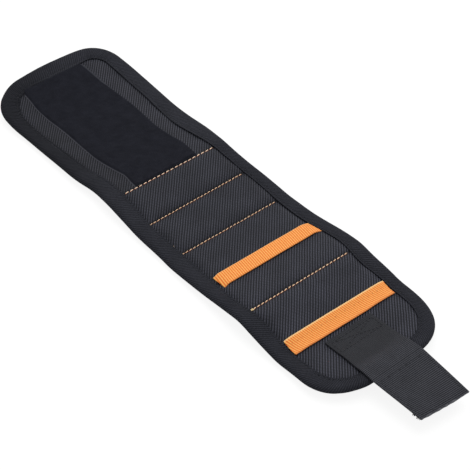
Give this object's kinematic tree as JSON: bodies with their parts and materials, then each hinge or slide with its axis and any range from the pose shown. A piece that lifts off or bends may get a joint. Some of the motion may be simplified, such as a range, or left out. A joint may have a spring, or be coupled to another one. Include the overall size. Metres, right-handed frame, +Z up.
{
  "type": "magnetic tool wristband",
  "caption": "Padded wristband of hinged quilted pockets that hold disc magnets, with a loop pile panel, sewn tool loops and a hook strap that closes on the pile.",
  "frame": {"origin": "middle of the band laid out flat, on the table", "axes": "+X along the band from the loop pile end to the strap, +Y across it, +Z up through the outer face"},
  "size_m": [0.3598, 0.09, 0.011],
  "materials": {
    "face_fabric": "coarse ballistic nylon weave, matt",
    "lining_mesh": "padded mesh, matt",
    "edge_binding": "fine ribbed tape",
    "loop_pile": "brushed loop pile",
    "orange_tape": "ribbed grosgrain tape",
    "strap_webbing": "ribbed webbing",
    "hook_tape": "moulded hook tape",
    "magnet_nickel": "bright nickel plate"
  },
  "bodies": {
    "pocket_1_section": {"pocket_1_face": "face_fabric", "pocket_1_lining": "lining_mesh", "pocket_1_binding_near": "edge_binding", "pocket_1_binding_far": "edge_binding", "pocket_1_magnet_near": "magnet_nickel", "pocket_1_magnet_middle": "magnet_nickel", "pocket_1_magnet_far": "magnet_nickel"},
    "pocket_2_section": {"pocket_2_face": "face_fabric", "pocket_2_lining": "lining_mesh", "pocket_2_binding_near": "edge_binding", "pocket_2_binding_far": "edge_binding", "pocket_2_magnet_near": "magnet_nickel", "pocket_2_magnet_middle": "magnet_nickel", "pocket_2_magnet_far": "magnet_nickel"},
    "pocket_3_section": {"pocket_3_face": "face_fabric", "pocket_3_lining": "lining_mesh", "pocket_3_binding_near": "edge_binding", "pocket_3_binding_far": "edge_binding", "pocket_3_magnet_near": "magnet_nickel", "pocket_3_magnet_middle": "magnet_nickel", "pocket_3_magnet_far": "magnet_nickel"},
    "pocket_4_section": {"pocket_4_face": "face_fabric", "pocket_4_lining": "lining_mesh", "pocket_4_binding_near": "edge_binding", "pocket_4_binding_far": "edge_binding", "pocket_4_magnet_near": "magnet_nickel", "pocket_4_magnet_middle": "magnet_nickel", "pocket_4_magnet_far": "magnet_nickel", "tool_loop_arched": "orange_tape"},
    "pocket_5_section": {"pocket_5_face": "face_fabric", "pocket_5_lining": "lining_mesh", "pocket_5_binding_near": "edge_binding", "pocket_5_binding_far": "edge_binding", "pocket_5_magnet_near": "magnet_nickel", "pocket_5_magnet_middle": "magnet_nickel", "pocket_5_magnet_far": "magnet_nickel"},
    "strap_panel_section": {"strap_panel_face": "face_fabric", "strap_panel_lining": "lining_mesh", "strap_panel_binding": "edge_binding", "tool_loop_flat": "orange_tape", "strap_root": "strap_webbing"},
    "strap_tail_section": {"strap_tail": "strap_webbing", "strap_hook": "hook_tape"},
    "loop_3_section": {"loop_3_face": "face_fabric", "loop_3_lining": "lining_mesh", "loop_3_binding_near": "edge_binding", "loop_3_binding_far": "edge_binding", "loop_3_pile": "loop_pile"},
    "loop_2_section": {"loop_2_face": "face_fabric", "loop_2_lining": "lining_mesh", "loop_2_binding_near": "edge_binding", "loop_2_binding_far": "edge_binding", "loop_2_pile": "loop_pile"},
    "loop_1_section": {"loop_1_face": "face_fabric", "loop_1_lining": "lining_mesh", "loop_1_binding": "edge_binding", "loop_1_pile": "loop_pile"}
  },
  "joints": [
    {"name": "loop_seam_bend", "type": "hinge", "parent": "pocket_1_section", "child": "loop_3_section", "pos_m": [-0.05223, 0, 0.00672], "axis": [0, -1, 0], "range_deg": [-24, 36.7]},
    {"name": "loop_inner_flex", "type": "hinge", "parent": "loop_3_section", "child": "loop_2_section", "pos_m": [-0.09475, 0, 0.00382], "axis": [0, -1, 0], "range_deg": [-15, 58.5]},
    {"name": "loop_outer_flex", "type": "hinge", "parent": "loop_2_section", "child": "loop_1_section", "pos_m": [-0.13736, 0, 0.00263], "axis": [0, -1, 0], "range_deg": [-9, 65.4]},
    {"name": "pocket_seam_1_bend", "type": "hinge", "parent": "pocket_1_section", "child": "pocket_2_section", "pos_m": [-0.0238, 0, 0.00343], "axis": [0, 1, 0], "range_deg": [-13, 45]},
    {"name": "pocket_seam_2_bend", "type": "hinge", "parent": "pocket_2_section", "child": "pocket_3_section", "pos_m": [0.00669, 0, 0.00247], "axis": [0, 1, 0], "range_deg": [-12, 42]},
    {"name": "pocket_seam_3_bend", "type": "hinge", "parent": "pocket_3_section", "child": "pocket_4_section", "pos_m": [0.0386, 0, 0.00493], "axis": [0, 1, 0], "range_deg": [-2.5, 38.9]},
    {"name": "pocket_seam_4_bend", "type": "hinge", "parent": "pocket_4_section", "child": "pocket_5_section", "pos_m": [0.06806, 0, 0.00881], "axis": [0, 1, 0], "range_deg": [-30, 22.3]},
    {"name": "strap_seam_bend", "type": "hinge", "parent": "pocket_5_section", "child": "strap_panel_section", "pos_m": [0.09969, 0, 0.003], "axis": [0, 1, 0], "range_deg": [-2, 63.7]},
    {"name": "strap_bend", "type": "hinge", "parent": "strap_panel_section", "child": "strap_tail_section", "pos_m": [0.1453, 0, 0.01039], "axis": [0, 1, 0], "range_deg": [-60, 50]}
  ]
}
